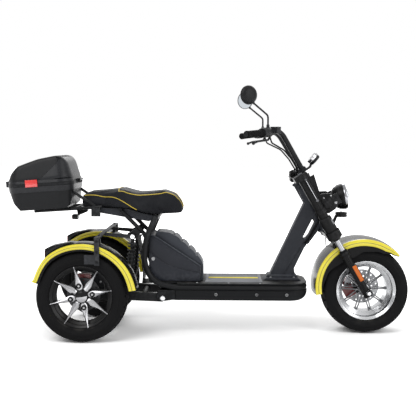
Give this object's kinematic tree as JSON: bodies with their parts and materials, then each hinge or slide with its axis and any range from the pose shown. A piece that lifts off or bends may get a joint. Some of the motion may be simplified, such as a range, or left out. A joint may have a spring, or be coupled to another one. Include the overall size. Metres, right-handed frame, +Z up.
{
  "type": "electric tricycle",
  "caption": "Step-through electric tricycle with one steered front wheel, two rear wheels, saddle, rack and top case.",
  "frame": {"origin": "floor under the middle of the overall length and width", "axes": "+X forward, +Y to the rider's left, +Z up"},
  "size_m": [2.224, 0.8078, 1.337],
  "materials": {
    "frame_paint": "satin black",
    "post_paint": "satin dark grey",
    "fork_finish": "chrome tubes in black sleeves",
    "shock_finish": "gloss black",
    "cover_plastic": "matte dark blue grey",
    "hump_plastic": "matte grey",
    "deck_plastic": "matte black",
    "mat_rubber": "ribbed, grey",
    "black_rubber": "matte black",
    "battery_case": "plain",
    "seat_leather": "black with yellow piping",
    "case_plastic": "fine grain, black",
    "red_lens": "clear red in dark housings",
    "amber_lens": "clear amber",
    "fender_paint": "gloss black with yellow edge stripes",
    "caliper_paint": "red",
    "front_alloy": "polished",
    "rear_alloy": "gloss black with machined faces",
    "tyre": "road tread",
    "control_plastic": "black",
    "mirror_shell": "black",
    "gauge_shell": "black with a silver ring",
    "lamp_shell": "gloss black with a bright ring",
    "lamp_glass": "clear"
  },
  "bodies": {
    "frame": {"frame_tubes": "frame_paint", "seat_stays": "frame_paint", "shocks": "shock_finish", "swingarm": "frame_paint", "drive_axle": "frame_paint", "rear_calipers": "caliper_paint", "deck_tray": "deck_plastic", "deck_plate": "deck_plastic", "deck_mat": "mat_rubber", "front_post": "post_paint", "battery_cover": "cover_plastic", "cover_hump": "hump_plastic", "battery": "battery_case", "seat_cushion": "seat_leather", "seat_tray": "deck_plastic", "rack": "frame_paint", "case_tub": "case_plastic", "loom": "black_rubber", "rear_fender_right": "fender_paint", "rear_fender_left": "fender_paint", "fender_hoop": "frame_paint", "splash_guard": "deck_plastic", "rear_lamps": "red_lens"},
    "steering": {"fork_clamps": "frame_paint", "fork_uppers": "fork_finish", "fork_lowers": "frame_paint", "front_fender": "fender_paint", "fork_reflectors": "amber_lens", "front_caliper": "caliper_paint", "handlebar": "frame_paint", "grips": "black_rubber", "controls": "control_plastic", "mirrors": "mirror_shell", "gauge": "gauge_shell", "headlight": "lamp_shell", "headlight_lens": "lamp_glass", "lamp_ears": "frame_paint", "horn": "control_plastic", "cables": "black_rubber"},
    "front_wheel": {"front_rim": "front_alloy", "front_tyre": "tyre"},
    "rear_wheel_right": {"rear_rim_right": "rear_alloy", "rear_tyre_right": "tyre"},
    "rear_wheel_left": {"rear_rim_left": "rear_alloy", "rear_tyre_left": "tyre"},
    "lid": {"case_lid": "case_plastic"}
  },
  "joints": [
    {"name": "steer", "type": "hinge", "parent": "frame", "child": "steering", "pos_m": [0.84529, 0, 0.223], "axis": [-0.5, 0, 0.866], "range_deg": [-35, 35]},
    {"name": "front_spin", "type": "hinge", "parent": "steering", "child": "front_wheel", "pos_m": [0.873, 0, 0.239], "axis": [0, 1, 0], "continuous": true},
    {"name": "rear_spin_right", "type": "hinge", "parent": "frame", "child": "rear_wheel_right", "pos_m": [-0.645, -0.3, 0.24], "axis": [0, 1, 0], "continuous": true},
    {"name": "rear_spin_left", "type": "hinge", "parent": "frame", "child": "rear_wheel_left", "pos_m": [-0.645, 0.3, 0.24], "axis": [0, 1, 0], "continuous": true},
    {"name": "lid_hinge", "type": "hinge", "parent": "frame", "child": "lid", "pos_m": [-0.70224, 0, 0.83597], "axis": [0, 1, 0], "range_deg": [0, 80]}
  ]
}
